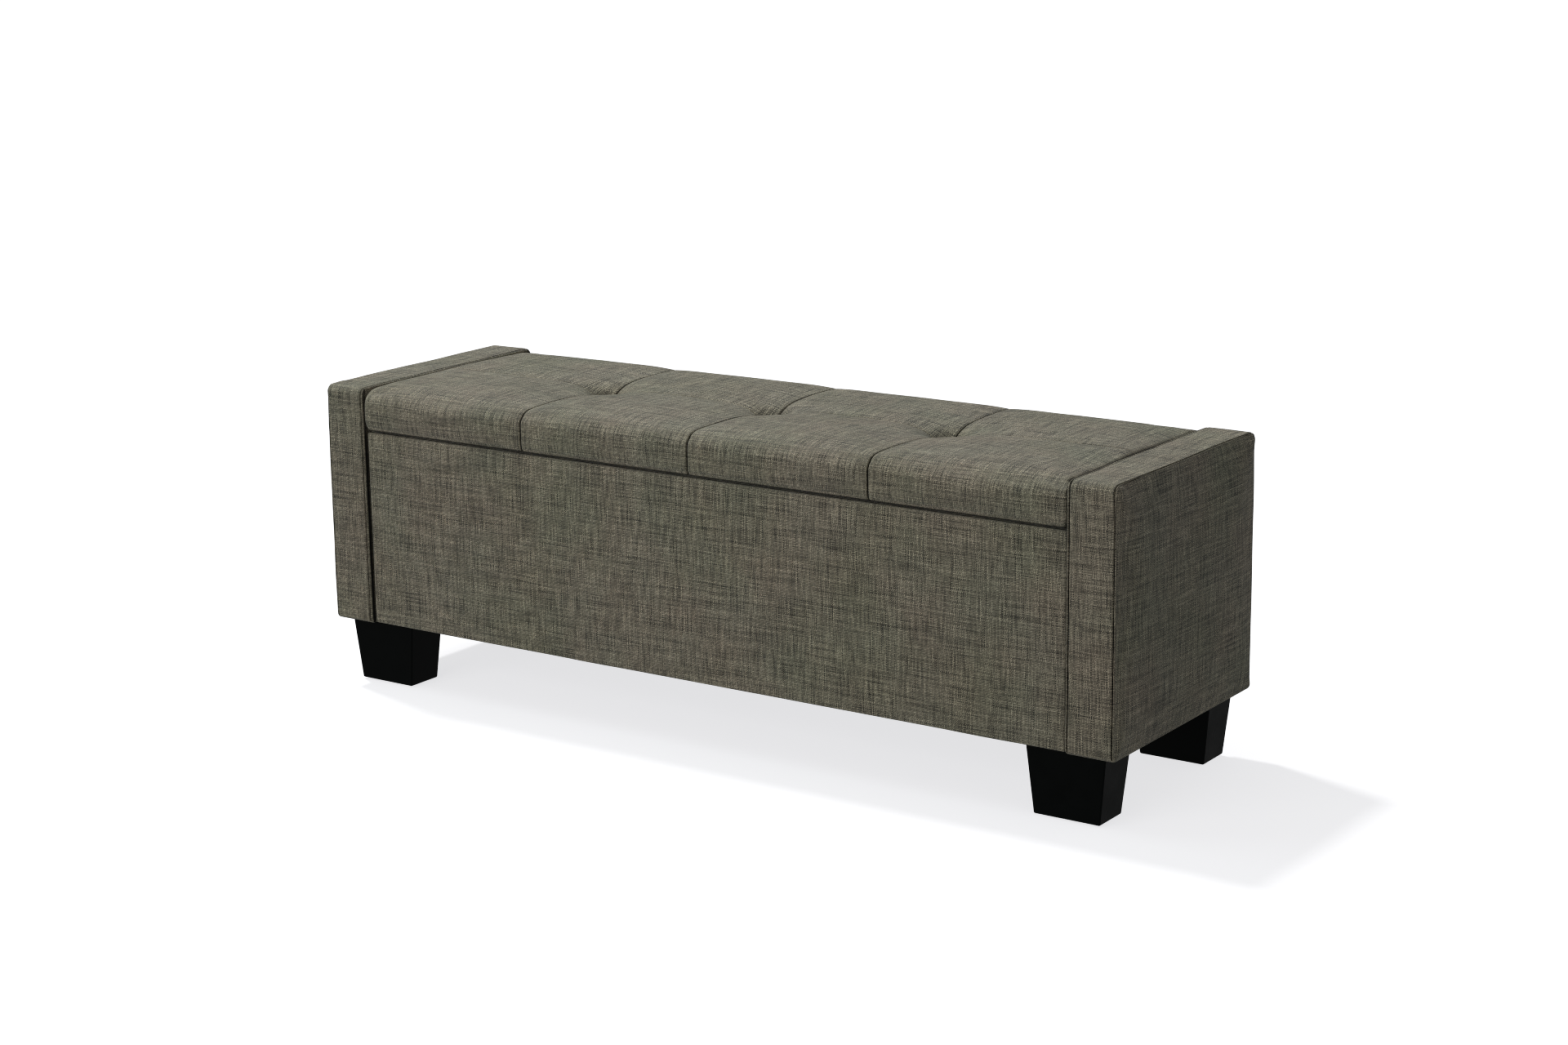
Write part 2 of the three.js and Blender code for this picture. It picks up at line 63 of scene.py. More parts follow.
# Lid: its box, its rounding along x, y and z, and the seams that cut its top into eight panels.
LID_LOW, LID_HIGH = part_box("lid_cover")
LID_FULLNESS = Vector((0.0043, 0.0025, 0))  # the padding nearly fills the gaps beside the end panels
LID_TOP_RADIUS = (0.003, 0.024, 0.022)
LID_BOTTOM_RADIUS = (0.006, 0.0065, 0.021)
LID_TOP_START = (0.0, 0.2, 0.2)  # the top's radii take over from this share of the height
LID_TOP_SPAN = (0.35, 0.8, 0.8)  # and over this share of it
LID_END_DROP = {-1: 0.003, 1: 0.019}  # height of the rounding at the lid's ends
LID_END_ROLL = {-1: 0.003, 1: 0.026}  # and its width
LONG_EDGE_REACH = 0.055  # the long edges keep their own rounding this far in
LONG_EDGE_FADE = 0.045
LID_PANEL_START = 0.35  # the share of the height where the top's own shape begins
CROWN = 0.0025  # how far the top falls away to the long edges
END_CROWN = 0.001  # and to the ends
FACE_DEPTH = 0.004  # the front and back faces are this deep
SEAM_SPACING = (LID_HIGH.x - LID_LOW.x) / 4
SEAM_PLACES = (-SEAM_SPACING, 0.0, SEAM_SPACING)
SEAM_Y = 0.006  # the lengthwise seam and the tufts, just behind the middle
SEAM_GROOVE = 0.0040
SEAM_HALF_WIDTH = 0.0009
LENGTHWISE_SEAM = 0.4  # the lengthwise seam's depth as a share of the others'
PILLOW = 0.0018  # how far the panels stand above the seams between them
PILLOW_REACH = 0.022
PILLOW_CURVE = 1.4
LENGTHWISE_PILLOW = 0.35  # the share of it beside the lengthwise seam
FACE_PILLOW = 0.6  # and on the front and back faces

# Tufts, and the valleys that run out from them along the seams.
TUFT_DEPTH = 0.036
TUFT_REACH = 0.022
TUFT_CURVE = 1.1
TUFT_NARROWING = 1.05  # across the lid
TUFT_FLOOR = 0.0235  # the cloth lies on the tuft's tie at this depth
TUFT_FLOOR_SHARPNESS = 6
TIE_REACH = 0.014  # there is no groove in the cloth on the tie
VALLEY_DEPTH = 0.0035
VALLEY_WIDTH = 0.010
VALLEY_LENGTH = 0.05  # along the cross seams
LENGTHWISE_VALLEY = 0.7  # the lengthwise valley's depth as a share of that
LENGTHWISE_VALLEY_LENGTH = 0.045

# Painted shade: how dark the cloth is painted where shade falls in tufts, slots and gaps: 1 is black.
TUFT_SHADE = 0.66
TUFT_SHADE_REACH = 0.023
LID_EDGE_SHADE = 0.5  # under the lid's long edges, and where its top rolls down to an end panel
LID_END_SHADE = 0.25  # more of it in the last few millimetres
SLOT_SHADE = 0.75  # on the end panels, in the slots beside the front and back panels
SLOT_SHADE_BY_LID = 0.62
LID_GAP_SHADE = 0.35  # on the end panels, along their top edge
PANEL_TOP_SHADE = 0.8  # on the front and back panels, under the lid

PAD_CLEARANCE = Vector((0.003, 0.003, 0.0015))

# End panels
SLAB_EDGE = 0.0036  # edge between an end panel's inner side and its boxing strip
SLAB_OUTER_EDGE = 0.0055  # the outer side's edge is softer
INNER_SEAM_INSET = 0.0034
OUTER_SEAM_INSET = 0.0042
BOXING_GROOVE = 0.0032
BOXING_HALF_WIDTH = 0.0008
SLAB_CORNER = 0.012  # outline corners at the top
SLAB_FOOT_CORNER = 0.008  # outline corners at the bottom
SLAB_BULGE = 0.0034  # how far the outer side's pad stands out
SLAB_BULGE_REACH = 0.022
WANDER = 0.0026  # the outer top seam isn't quite straight
WANDER_WAVES = 14
SLOT_BOTTOM = 0.064  # below the top, the slot beside the lid becomes the slot beside a panel

# Front and back panels
PANEL_END_GAP = 0.0014  # eased off each end
PANEL_FULLNESS = 0.0025  # the wadding under their cloth stands out past the board's edges
PANEL_RADIUS = (0.003, 0.0045, 0.003)

# Lining cloth and feet
LINING_THICKNESS = 0.0008
LINING_CORNER = 0.010
FOOT_EDGE = 0.0022

# Screws and staples
SCREW_RADIUS = 0.0033
SCREW_RINGS = (0.0, 0.1, 0.2, 0.3, 0.4, 0.5, 0.58, 0.66, 0.8, 0.93, 1.0, 1.0)
SCREW_CROWN = 0.0005
SCREW_SINK = 0.0005  # the part of a head that is below the plate's face
RECESS = 0.0009  # the cross recess: its depth, half width and reach
RECESS_HALF_WIDTH = 0.00042
RECESS_REACH = 0.0020
HINGE_SCREWS = ((-0.021, 0.009), (0.0, 0.020), (0.021, 0.009))  # from the leaf's middle, front edge
STAY_PLATE = 0.002
STAPLE = Vector((0.0105, 0.0009, 0.0008))
STAPLE_PITCH = 0.038
STAPLE_INSET = 0.013
STAPLE_CLEARANCE = 0.008  # from the hardware

# ------------------------------------------------------------------ mesh helpers


def grid_lines(low, high, step, marks=()):
    """Places from low to high, at most step apart, that include every mark."""
    fixed = sorted({round(v, 6) for v in (low, high, *marks) if low - 1e-7 <= v <= high + 1e-7})
    places = [fixed[0]]
    for start, end in zip(fixed, fixed[1:]):
        count = max(1, math.ceil((end - start) / step - 1e-6))
        places += [start + (end - start) * (i + 1) / count for i in range(count)]
    return places


def both_ends(low, high, offsets):
    """Each offset measured inwards from both ends."""
    return [low + o for o in offsets] + [high - o for o in offsets]


def both_sides(places, offsets):
    """Each offset on both sides of each place."""
    return [p + sign * o for p in places for o in offsets for sign in (-1, 1)]


SIDE_NAMES = ("left", "right", "front", "back", "bottom", "top")


def box_grid(lines, skip=(), hollow_bottom=0.0):
    """The surface of a box cut along grid lines: points, faces and each face's side name.

    hollow_bottom is how far in from the bottom's edges its grid gives way to long, plain strips."""
    counts = [len(line) for line in lines]
    index = {}
    points = []

    def vertex(key):
        if key not in index:
            index[key] = len(points)
            points.append([lines[axis][key[axis]] for axis in range(3)])
        return index[key]

    faces = []
    sides = []
    for axis in range(3):
        u_axis, v_axis = [(1, 2), (2, 0), (0, 1)][axis]
        for end in (0, 1):
            name = SIDE_NAMES[axis * 2 + end]
            if name in skip:
                continue
            ring = 0
            if name == "bottom" and hollow_bottom:
                ring = 1 + sum(1 for v in lines[0] if v < lines[0][0] + hollow_bottom)
            for corners in side_cells(counts[u_axis] - 1, counts[v_axis] - 1, ring):
                keys = [side_key(axis, (counts[axis] - 1) * end, u, v) for u, v in corners]
                loop = [vertex(key) for key in keys]
                faces.append(loop if end else loop[::-1])
                sides.append(name)
    return np.array(points), faces, sides


def side_cells(columns, rows, ring):
    """The cells of one side of a box grid. With a ring, each column's middle cells are one strip."""
    cells = []
    for u in range(columns):
        inner = ring and ring <= u < columns - ring
        for v in range(rows):
            if not (inner and ring <= v < rows - ring):
                cells.append([(u, v), (u + 1, v), (u + 1, v + 1), (u, v + 1)])
        if inner:
            last = rows - ring
            right = range(ring, last + 1) if u == columns - ring - 1 else (ring, last)
            left = range(last, ring - 1, -1) if u == ring else (last, ring)
            cells.append([(u + 1, v) for v in right] + [(u, v) for v in left])
    return cells


def side_key(axis, fixed, u, v):
    """The grid place of a side's point, as x, y and z line numbers."""
    return [(fixed, u, v), (v, fixed, u), (u, v, fixed)][axis]


def make_piece(name, points, faces, cloth=None):
    """A smooth-shaded mesh object; cloth gives each face corner its place on the cloth, in metres."""
    mesh = bpy.data.meshes.new(name)
    mesh.from_pydata([tuple(p) for p in points], [], faces)
    mesh.polygons.foreach_set("use_smooth", [True] * len(mesh.polygons))
    if cloth is not None:
        layer = mesh.uv_layers.new(name="Cloth")
        layer.data.foreach_set("uv", np.array(cloth, np.float32).ravel())
    piece = bpy.data.objects.new(name, mesh)
    SCENE.collection.objects.link(piece)
    return piece


def cloth_places(points, faces, sides, low, high, turn_ends=False):
    """Where each face corner lies on the cloth: threads run level and upright on every side."""
    places = []
    for loop, side in zip(faces, sides):
        for i in loop:
            x, y, z = points[i]
            if side in ("top", "bottom"):
                places.append((x, y))
            elif side == "front":
                places.append((x, low[1] - (high[2] - z)))
            elif side == "back":
                places.append((x, high[1] + (high[2] - z)))
            elif turn_ends:
                way = 1 if side == "right" else -1
                places.append((way * (abs(x) + high[2] - z), y))
            else:
                places.append((y + SIDE_CLOTH_SHIFT, z))
    return places


def get_points(piece):
    places = np.empty(len(piece.data.vertices) * 3, np.float32)
    piece.data.vertices.foreach_get("co", places)
    return places.reshape(-1, 3).astype(float)


def set_points(piece, points):
    piece.data.vertices.foreach_set("co", points.astype(np.float32).ravel())
    piece.data.update()


def get_normals(piece):
    normals = np.empty(len(piece.data.vertices) * 3, np.float32)
    piece.data.vertex_normals.foreach_get("vector", normals)
    return normals.reshape(-1, 3).astype(float)


def push_out(piece, distances):
    """Moves each point along its normal."""
    set_points(piece, get_points(piece) + get_normals(piece) * distances[:, None])


def smooth_step(value):
    t = np.clip(value, 0.0, 1.0)
    return t * t * (3 - 2 * t)


def bell(distance, reach):
    """1 at no distance, and nearly nothing at twice the reach."""
    return np.exp(-((distance / reach) ** 2))


def band(distance, rise, fall, delay=0.5):
    """1 in a band beside an edge. It comes in over one rise, after so many rises of delay, and goes
    out between one fall and two."""
    return np.clip(distance / rise - delay, 0, 1) * np.clip(2 - distance / fall, 0, 1)


def rounded(points, low, high, radius):
    """Rounds a box's edges and corners. radius is one row of three radii per point."""
    low, high = np.array(low), np.array(high)
    centre = np.clip(points, low + radius, high - radius)
    offset = (points - centre) / radius
    biggest = np.abs(offset).max(axis=1)
    length = np.linalg.norm(offset, axis=1)
    scale = np.where(length > 1e-9, biggest / np.maximum(length, 1e-9), 1.0)
    return centre + radius * offset * scale[:, None]


def slack(points, size, amount, seed):
    """A slow, seeded unevenness, as sines in random directions: one value per point."""
    random = np.random.default_rng(seed)
    total = np.zeros(len(points))
    waves = 10
    for _ in range(waves):
        direction = random.normal(size=3)
        direction /= np.linalg.norm(direction)
        wave = 2 * math.pi / (size * random.uniform(0.6, 1.6))
        total += np.sin(points @ direction * wave + random.uniform(0, 2 * math.pi))
    return total * amount / math.sqrt(waves)


def inflate(piece, held, pressure, cap):
    """Cloth simulation: air pressure swells the cover between the held points, by cap at most."""
    group = piece.vertex_groups.new(name="held")
    group.add([int(i) for i in np.flatnonzero(held)], 1.0, "REPLACE")
    before = get_points(piece)
    cloth = piece.modifiers.new("swell", "CLOTH")
    cloth.settings.quality = 6
    cloth.settings.mass = 0.35
    cloth.settings.tension_stiffness = 18
    cloth.settings.compression_stiffness = 18
    cloth.settings.shear_stiffness = 6
    cloth.settings.bending_stiffness = 1.0
    cloth.settings.use_pressure = True
    cloth.settings.uniform_pressure_force = pressure
    cloth.settings.effector_weights.gravity = 0
    cloth.settings.vertex_group_mass = "held"
    cloth.collision_settings.use_collision = False
    cloth.point_cache.frame_start = 1
    cloth.point_cache.frame_end = SWELL_FRAMES
    for step in range(1, SWELL_FRAMES + 1):
        SCENE.frame_set(step)
    shown = piece.evaluated_get(bpy.context.evaluated_depsgraph_get())
    after = np.empty(len(shown.data.vertices) * 3, np.float32)
    shown.data.vertices.foreach_get("co", after)
    move = after.reshape(-1, 3).astype(float) - before
    piece.modifiers.remove(cloth)
    piece.vertex_groups.clear()
    SCENE.frame_set(1)
    far = np.linalg.norm(move, axis=1)
    move *= (cap * np.tanh(far / cap) / np.maximum(far, 1e-9))[:, None]
    set_points(piece, before + move)


def sew(piece, share, depth, painted_shade):
    """Sinks a seam into the cover. share is 1 on the seam's line, and the last argument is how much
    shade is painted where the cloth lies in a gap or a tuft.
    The material paints shade by the greater one, so the seam lines get painted shade too."""
    set_points(piece, get_points(piece) - get_normals(piece) * (share * depth)[:, None])
    fold_shade = piece.data.attributes.new("FoldShade", "FLOAT", "POINT")
    fold_shade.data.foreach_set("value", np.maximum(share, painted_shade).astype(np.float32))


def subdivide(piece):
    surface = piece.modifiers.new("fine surface", "SUBSURF")
    surface.levels = surface.render_levels = 1
    return piece


def finish_piece(piece, body, slot):
    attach(piece, body)
    piece.data.materials.append(FINISHES[slot])


# ------------------------------------------------------------------ material helpers


class Graph:
    """A material's node tree, built by short calls that return output sockets."""

    def __init__(self, name):
        self.material = bpy.data.materials.new(name)
        self.material.use_nodes = True
        self.tree = self.material.node_tree
        self.shader = self.tree.nodes["Principled BSDF"]

    def feed(self, socket, value):
        if isinstance(value, bpy.types.NodeSocket):
            self.tree.links.new(value, socket)
        elif value is not None:
            socket.default_value = value

    def node(self, kind, inputs=(), **settings):
        node = self.tree.nodes.new(kind)
        for key, value in settings.items():
            setattr(node, key, value)
        for key, value in dict(inputs).items():
            self.feed(node.inputs[key], value)
        return node

    def math(self, operation, a, b=None):
        return self.node("ShaderNodeMath", {0: a, 1: b}, operation=operation).outputs[0]

    def times(self, a, b):
        return self.math("MULTIPLY", a, b)

    def plus(self, a, b):
        return self.math("ADD", a, b)

    def combine(self, x, y, z=0.0):
        return self.node("ShaderNodeCombineXYZ", {0: x, 1: y, 2: z}).outputs[0]

    def noise(self, vector, scale=1.0, detail=2.0, roughness=0.5):
        inputs = {"Vector": vector, "Scale": scale, "Detail": detail, "Roughness": roughness}
        return self.node("ShaderNodeTexNoise", inputs).outputs[0]

    def drawn_out(self, vector, per_metre, detail=2.0):
        """Noise drawn out along an axis: per_metre is how fine it is along x, y and z."""
        split = self.node("ShaderNodeSeparateXYZ", {0: vector})
        parts = [self.times(split.outputs[axis], per_metre[axis]) for axis in range(3)]
        return self.noise(self.combine(*parts), detail=detail)

    def spread(self, value, low, high, to_low=0.0, to_high=1.0):
        """value moved from one range to another, and clamped."""
        inputs = {"Value": value, "From Min": low, "From Max": high, "To Min": to_low, "To Max": to_high}
        return self.node("ShaderNodeMapRange", inputs).outputs[0]

    def blend(self, factor, a, b, mode="MIX"):
        node = self.node("ShaderNodeMix", data_type="RGBA", blend_type=mode)
        self.feed(node.inputs[0], factor)
        self.feed(node.inputs[6], a)
        self.feed(node.inputs[7], b)
        return node.outputs[2]

    def bump(self, height, distance, strength):
        inputs = {"Height": height, "Distance": distance, "Strength": strength}
        return self.node("ShaderNodeBump", inputs).outputs[0]

    def place(self):
        """The point's place in the object's own frame, in metres."""
        return self.node("ShaderNodeTexCoord").outputs["Object"]

    def surface(self, **values):
        for key, value in values.items():
            self.feed(self.shader.inputs[key.replace("_", " ")], value)
        return self.material


def rgb(red, green, blue):
    return (red, green, blue, 1.0)


# ------------------------------------------------------------------ materials


def linen():
    """Plain weave of slubby, two-tone yarn. It reads the piece's Cloth map, which is in metres."""
    g = Graph("taupe linen")
    cloth = g.node("ShaderNodeUVMap", uv_map="Cloth").outputs[0]
    split = g.node("ShaderNodeSeparateXYZ", {0: cloth})
    u, v = split.outputs[0], split.outputs[1]
    pitch = 0.0015          # from one thread to the next

    def streaks(across, along, per_metre, along_per_metre, seed):
        place = g.combine(g.times(across, per_metre), g.times(along, along_per_metre), seed)
        return g.noise(place, detail=1.0)

    def thread(across):
        return g.math("FLOOR", g.times(across, 1 / pitch))

    def yarn(across, along, seed, length, slub_width, shares):
        """How light each thread is: single threads, slubs that run on for a while, and wide bands."""
        parts = (streaks(thread(across), along, 7.31, 1 / length, seed),
                 streaks(across, along, 1 / slub_width, 0.7 / length, seed + 3.0),
                 streaks(across, along, 0.4 / slub_width, 0.35 / length, seed + 7.0))
        total = 0.0
        for part, share in zip(parts, shares):
            total = g.plus(total, g.times(part, share))
        return g.spread(total, 0.34, 0.66)

    warp = yarn(u, v, 1.0, 0.045, 0.0022, (0.84, 0.12, 0.04))
    weft = yarn(v, u, 29.0, 0.065, 0.0034, (0.66, 0.26, 0.08))
    turn = math.pi / pitch
    over = g.times(g.math("SINE", g.times(u, turn)), g.math("SINE", g.times(v, turn)))
    warp_up = g.spread(over, -0.3, 0.3)

    dark, light = rgb(0.054, 0.052, 0.041), rgb(0.80, 0.735, 0.545)
    colour = g.blend(warp_up, g.blend(weft, dark, light), g.blend(warp, dark, light))
    # Every crossing sits a little differently, and little light comes back from the holes.
    crossing = g.noise(g.combine(g.times(thread(u), 5.37), g.times(thread(v), 6.91)), detail=0.0)
    colour = g.blend(g.spread(crossing, 0.36, 0.64), g.blend(0.50, colour, dark), colour)
    hole = g.spread(g.math("ABSOLUTE", over), 0.0, 0.45)
    colour = g.blend(hole, g.blend(0.75, colour, dark), colour)

    # Dyed in the yarn, so the cloth drifts between a warm and a greenish grey.
    drift = g.noise(cloth, scale=9.0, detail=3.0, roughness=0.6)
    colour = g.blend(g.spread(drift, 0.35, 0.65, 0.0, 0.4), colour, rgb(1.10, 0.94, 0.92), "MULTIPLY")
    cool = g.noise(g.combine(u, v, 5.0), scale=6.0, detail=2.0)
    colour = g.blend(g.spread(cool, 0.42, 0.7, 0.0, 0.6), colour, rgb(0.84, 0.94, 0.85), "MULTIPLY")

    # Painted shade: the colour goes towards black along the seams, in the tufts and where the cloth lies
    # in gaps, as a mesh attribute says.
    fold_shade = g.node("ShaderNodeAttribute", attribute_name="FoldShade").outputs["Fac"]
    colour = g.blend(g.spread(fold_shade, 0.12, 0.75), colour, rgb(0.006, 0.006, 0.005))

    # Threads stand up where they cross over, and thick slubs a little more.
    slub = g.times(g.plus(warp, weft), 0.35)
    height = g.plus(g.times(g.math("ABSOLUTE", over), 0.7), slub)
    rough = g.spread(slub, 0.1, 0.6, 0.98, 0.86)
    # The sheen is taken away where shade is painted, so it stays dark.
    fuzz = g.spread(fold_shade, 0.05, 0.45, 0.22, 0.0)
    return g.surface(
        Base_Color=colour, Roughness=rough, Normal=g.bump(height, 0.0007, 0.8),
        Sheen_Weight=fuzz, Sheen_Roughness=0.45, Sheen_Tint=rgb(0.86, 0.95, 1.0),
        Specular_IOR_Level=0.25,
    )


def black_cloth():
    """Spun-bonded lining: matted black fibres with a fine pattern of pressed dots."""
    g = Graph("black non-woven cloth")
    place = g.place()
    fibre = g.noise(place, scale=900.0, detail=4.0, roughness=0.7)
    dots = g.node("ShaderNodeTexVoronoi", {"Vector": place, "Scale": 420.0}).outputs["Distance"]
    colour = g.blend(g.spread(fibre, 0.3, 0.7), rgb(0.008, 0.008, 0.009), rgb(0.03, 0.03, 0.032))
    height = g.plus(g.times(fibre, 0.5), g.spread(dots, 0.1, 0.35))
    return g.surface(
        Base_Color=colour, Roughness=g.spread(fibre, 0.3, 0.7, 0.75, 0.95),
        Normal=g.bump(height, 0.00025, 0.7), Sheen_Weight=0.1,
    )


def raw_timber():
    """Planed pine: growth rings stretched along the piece."""
    g = Graph("raw timber")
    place = g.place()
    height = g.node("ShaderNodeSeparateXYZ", {0: place}).outputs[2]
    wander = g.drawn_out(place, (3.0, 20.0, 20.0), detail=3.0)
    rings = g.math("SINE", g.plus(g.times(height, 420.0), g.times(wander, 26.0)))
    pores = g.drawn_out(place, (60.0, 1400.0, 1400.0))
    colour = g.blend(g.spread(rings, -1.0, 1.0), rgb(0.50, 0.34, 0.18), rgb(0.66, 0.49, 0.29))
    colour = g.blend(g.spread(pores, 0.5, 0.75, 0.0, 0.5), colour, rgb(0.34, 0.22, 0.12))
    return g.surface(
        Base_Color=colour, Roughness=g.spread(pores, 0.3, 0.7, 0.6, 0.8),
        Normal=g.bump(pores, 0.0002, 0.5),
    )


def black_lacquer():
    """Sprayed satin black over wood: faint grain and orange peel under an even film."""
    g = Graph("black lacquer")
    place = g.place()
    grain = g.drawn_out(place, (700.0, 700.0, 30.0), detail=3.0)
    film = g.plus(g.times(grain, 0.4), g.noise(place, scale=260.0))
    worn = g.noise(place, scale=28.0, detail=5.0, roughness=0.65)
    colour = g.blend(g.spread(worn, 0.35, 0.7), rgb(0.0006, 0.0013, 0.0011), rgb(0.0012, 0.0022, 0.0019))
    return g.surface(
        Base_Color=colour, Roughness=g.spread(worn, 0.3, 0.75, 0.34, 0.48),
        Normal=g.bump(film, 0.00012, 0.5), Specular_IOR_Level=0.1,
    )


def zinc_steel():
    """Pressed steel, bright zinc plated: fine drawn lines and a patchy passivated tint."""
    g = Graph("zinc plated steel")
    place = g.place()
    drawn = g.drawn_out(place, (90.0, 2600.0, 2600.0))
    patch = g.noise(place, scale=55.0, detail=4.0, roughness=0.6)
    colour = g.blend(g.spread(patch, 0.35, 0.65), rgb(0.52, 0.53, 0.55), rgb(0.62, 0.61, 0.57))
    return g.surface(
        Base_Color=colour, Metallic=1.0, Roughness=g.spread(drawn, 0.3, 0.7, 0.26, 0.42),
        Normal=g.bump(drawn, 0.00005, 0.5),
    )


def moulded(name, low, high, grain, rough):
    """Moulded plastic or rubber: a fine spark-eroded texture."""
    g = Graph(name)
    texture = g.noise(g.place(), scale=grain, detail=3.0)
    colour = g.blend(g.spread(texture, 0.35, 0.65), rgb(*low), rgb(*high))
    return g.surface(
        Base_Color=colour, Roughness=g.spread(texture, 0.3, 0.7, rough - 0.06, rough + 0.06),
        Normal=g.bump(texture, 0.0001, 0.5),
    )


def open_foam():
    """Open-cell cushion foam."""
    g = Graph("cushion foam")
    cells = g.node("ShaderNodeTexVoronoi", {"Vector": g.place(), "Scale": 900.0}).outputs["Distance"]
    colour = g.blend(g.spread(cells, 0.1, 0.6), rgb(0.52, 0.46, 0.33), rgb(0.80, 0.74, 0.58))
    return g.surface(Base_Color=colour, Roughness=0.95, Normal=g.bump(cells, 0.0006, 0.8))


FINISHES = {
    "taupe_linen": linen(),
    "black_cloth": black_cloth(),
    "cushion_foam": open_foam(),
    "pale_timber": raw_timber(),
    "black_lacquer": black_lacquer(),
    "zinc_steel": zinc_steel(),
    "black_plastic": moulded("black plastic", (0.012, 0.012, 0.013), (0.024, 0.024, 0.025), 1500, 0.55),
    "black_rubber": moulded("black rubber", (0.008, 0.008, 0.008), (0.016, 0.016, 0.016), 900, 0.8),
}


def paint_frame():
    """Every CAD node gets its slot's material in place of the plain packed one."""
    for row in frame["record"]["subparts"]:
        node = frame["nodes"][row["node"]]
        node.data.materials.clear()
        node.data.materials.append(FINISHES[row["material_slot"]])


# ------------------------------------------------------------------ lid


def lid_radii(x, y, up, half):
    """Each point's rounding along x, y and z: wide at the top, tight below, rolled off at the ends."""
    share = smooth_step((up[:, None] - LID_TOP_START) / LID_TOP_SPAN)
    radius = np.array(LID_BOTTOM_RADIUS) * (1 - share) + np.array(LID_TOP_RADIUS) * share
    near_long_edge = smooth_step((np.abs(y) - half[1] + LONG_EDGE_REACH) / LONG_EDGE_FADE)
    drop = np.where(x < 0, LID_END_DROP[-1], LID_END_DROP[1])
    roll = np.where(x < 0, LID_END_ROLL[-1], LID_END_ROLL[1])
    upper = smooth_step((up - 0.5) / 0.4)
    radius[:, 0] += (roll - radius[:, 0]) * (1 - near_long_edge) * upper
    end_radius = np.minimum(radius[:, 2], drop)
    radius[:, 2] = end_radius + (radius[:, 2] - end_radius) * near_long_edge
    return radius


def from_cross_seam(x):
    """The distance from the nearest seam across the lid."""
    return np.min([np.abs(x - place) for place in SEAM_PLACES], axis=0)


def pillow(distance):
    """0 on a seam and 1 on the panel beside it."""
    return 1 - np.exp(-((distance / PILLOW_REACH) ** PILLOW_CURVE))


def tuft_dip(x, y):
    """How deep the top is pulled: three tufts, and the valleys that lead to them along the seams."""
    length = np.abs(y - SEAM_Y)
    dip = np.zeros(len(x))
    for place in SEAM_PLACES:
        away = np.hypot(x - place, (y - SEAM_Y) * TUFT_NARROWING)
        dip += TUFT_DEPTH * np.exp(-((away / TUFT_REACH) ** TUFT_CURVE))
        valley = np.exp(-length / VALLEY_LENGTH) * bell(x - place, VALLEY_WIDTH)
        lengthwise = np.exp(-np.abs(x - place) / LENGTHWISE_VALLEY_LENGTH) * bell(length, VALLEY_WIDTH)
        dip += VALLEY_DEPTH * (valley + LENGTHWISE_VALLEY * lengthwise)
    return dip / (1 + (dip / TUFT_FLOOR) ** TUFT_FLOOR_SHARPNESS) ** (1 / TUFT_FLOOR_SHARPNESS)


def lid_surface(points, low, high):
    """The lid's shape at rest: rounded edges, low seams, standing panels and three deep tufts."""
    low, high = np.array(low), np.array(high)
    x, y, z = points.T
    up = (z - low[2]) / (high[2] - low[2])
    half = (high - low) / 2
    out = rounded(points, low, high, lid_radii(x, y, up, half))

    on_top = smooth_step((up - LID_PANEL_START) / (1 - LID_PANEL_START))
    cross_pillow = pillow(from_cross_seam(x))
    length_pillow = pillow(np.abs(y - SEAM_Y))
    rise = PILLOW * (cross_pillow - 1) + LENGTHWISE_PILLOW * PILLOW * (length_pillow - 1)
    crown = CROWN * np.abs(y / half[1]) ** 3 + END_CROWN * np.abs(x / half[0]) ** 12
    out[:, 2] += on_top * (rise - crown - tuft_dip(x, y))

    # On the front and back faces the panels stand out from the seams too.
    at_face = smooth_step((np.abs(y) - half[1] + FACE_DEPTH) / FACE_DEPTH) * np.clip(up * 2.5, 0, 1)
    out[:, 1] += np.sign(y) * at_face * FACE_PILLOW * PILLOW * (cross_pillow - 1)
    out[:, 2] += on_top * slack(points, size=0.16, amount=0.0005, seed=11)
    return out


def lid_grid(low, high):
    """Grid lines over the lid's cover, close together at its edges and seams."""
    edge = (0.0, 0.002, 0.005, 0.009, 0.014, 0.020, 0.028)
    seam = (0.0, 0.0007, 0.0016, 0.0035, 0.0075, 0.012, 0.018, 0.026)
    across = both_ends(low.x, high.x, edge) + both_sides(SEAM_PLACES, seam)
    along = both_ends(low.y, high.y, edge) + both_sides([SEAM_Y], seam)
    upright = [low.z + o for o in edge[:4]] + [high.z - o for o in edge]
    return (grid_lines(low.x, high.x, 0.011, across), grid_lines(low.y, high.y, 0.011, along),
            grid_lines(low.z, high.z, 0.010, upright))


def sew_lid(piece, points, low, high, from_tuft):
    """Sinks the seams, where two panels turn down into a groove, and paints shade in the tufts, under
    the lid's long edges and where its top rolls down to an end panel.
    """
    x, y, z = points.T
    on_top = z > high.z - SAME
    on_tie = np.exp(-((from_tuft / TIE_REACH) ** 4))
    deep = bell(from_cross_seam(x), SEAM_HALF_WIDTH) * (z > low.z) * (1 - 0.9 * on_tie)
    shallow = LENGTHWISE_SEAM * bell(y - SEAM_Y, SEAM_HALF_WIDTH) * on_top * (1 - on_tie)

    from_long_edge = high.y - np.abs(y)
    at_end = smooth_step((x - high.x + 0.018) / 0.015) * on_top * (from_long_edge > 0.012)
    last_part = at_end * smooth_step((x - high.x + 0.0075) / 0.005)
    beneath = (z < low.z + SAME) & (from_long_edge > 0.003) & (from_long_edge < 0.007)
    edges = LID_EDGE_SHADE * np.maximum(at_end, beneath) + LID_END_SHADE * last_part
    painted_shade = np.maximum(TUFT_SHADE * bell(from_tuft, TUFT_SHADE_REACH), edges)
    sew(piece, np.maximum(deep, shallow), SEAM_GROOVE, painted_shade)


